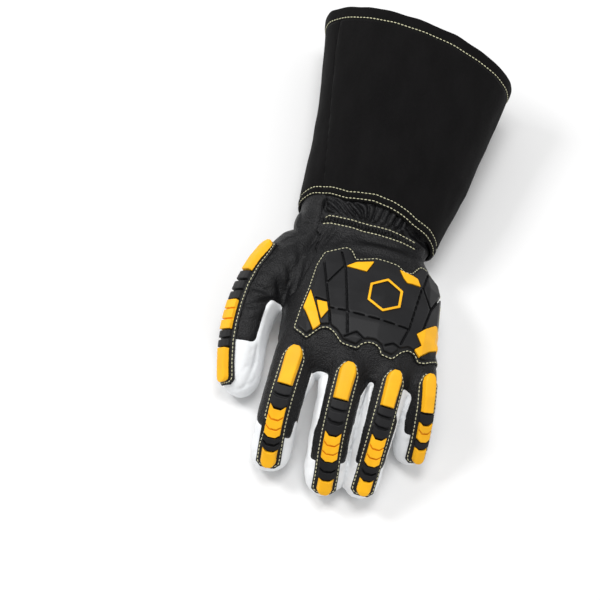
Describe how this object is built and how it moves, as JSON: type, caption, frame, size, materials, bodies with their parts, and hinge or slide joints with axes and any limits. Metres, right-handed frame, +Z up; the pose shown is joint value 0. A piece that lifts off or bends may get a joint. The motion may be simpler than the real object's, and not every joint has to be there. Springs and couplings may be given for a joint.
{
  "type": "welding glove",
  "caption": "Left-hand MIG welding glove with a flared leather gauntlet, moulded guards on the back and a reinforced palm, lying palm down.",
  "frame": {"origin": "middle of the footprint, on the surface that the glove lies on", "axes": "+Z up, from the palm to the back of the hand; +Y from the fingers to the cuff; the thumb is on the -X side"},
  "size_m": [0.1774, 0.3778, 0.0905],
  "materials": {
    "goatskin_black": "grained, satin",
    "goatskin_white": "smooth, satin",
    "goatskin_gold": "smooth, satin",
    "split_black": "napped split leather, matt",
    "rubber_black": "moulded, satin",
    "rubber_yellow": "moulded, satin"
  },
  "bodies": {
    "root": {"accent_knuckle": "rubber_yellow", "accent_thumb_inner": "rubber_yellow", "accent_thumb_side": "rubber_yellow", "accent_wrist": "rubber_yellow", "accent_wrist_outer": "rubber_yellow", "back_guard": "rubber_black", "badge": "rubber_yellow", "cuff_back": "split_black", "cuff_hem": "split_black", "cuff_palm": "split_black", "hand_back": "goatskin_black", "hand_palm": "goatskin_white", "index_back": "goatskin_black", "index_chevrons": "rubber_yellow", "index_front": "goatskin_white", "index_guard": "rubber_black", "index_knuckle_pad": "rubber_yellow", "index_tip_pad": "rubber_yellow", "middle_back": "goatskin_black", "middle_chevrons": "rubber_yellow", "middle_front": "goatskin_white", "middle_guard": "rubber_black", "middle_knuckle_pad": "rubber_yellow", "middle_tip_pad": "rubber_yellow", "palm_patch": "goatskin_gold", "pinky_back": "goatskin_black", "pinky_chevrons": "rubber_yellow", "pinky_front": "goatskin_white", "pinky_guard": "rubber_black", "pinky_knuckle_pad": "rubber_yellow", "pinky_tip_pad": "rubber_yellow", "pull_loop": "goatskin_white", "ring_back": "goatskin_black", "ring_chevrons": "rubber_yellow", "ring_front": "goatskin_white", "ring_guard": "rubber_black", "ring_knuckle_pad": "rubber_yellow", "ring_tip_pad": "rubber_yellow", "thumb_back": "goatskin_black", "thumb_bars": "rubber_yellow", "thumb_guard": "rubber_black", "thumb_knuckle_pad": "rubber_yellow", "thumb_palm": "goatskin_white", "thumb_tip_pad": "rubber_yellow"}
  },
  "joints": []
}
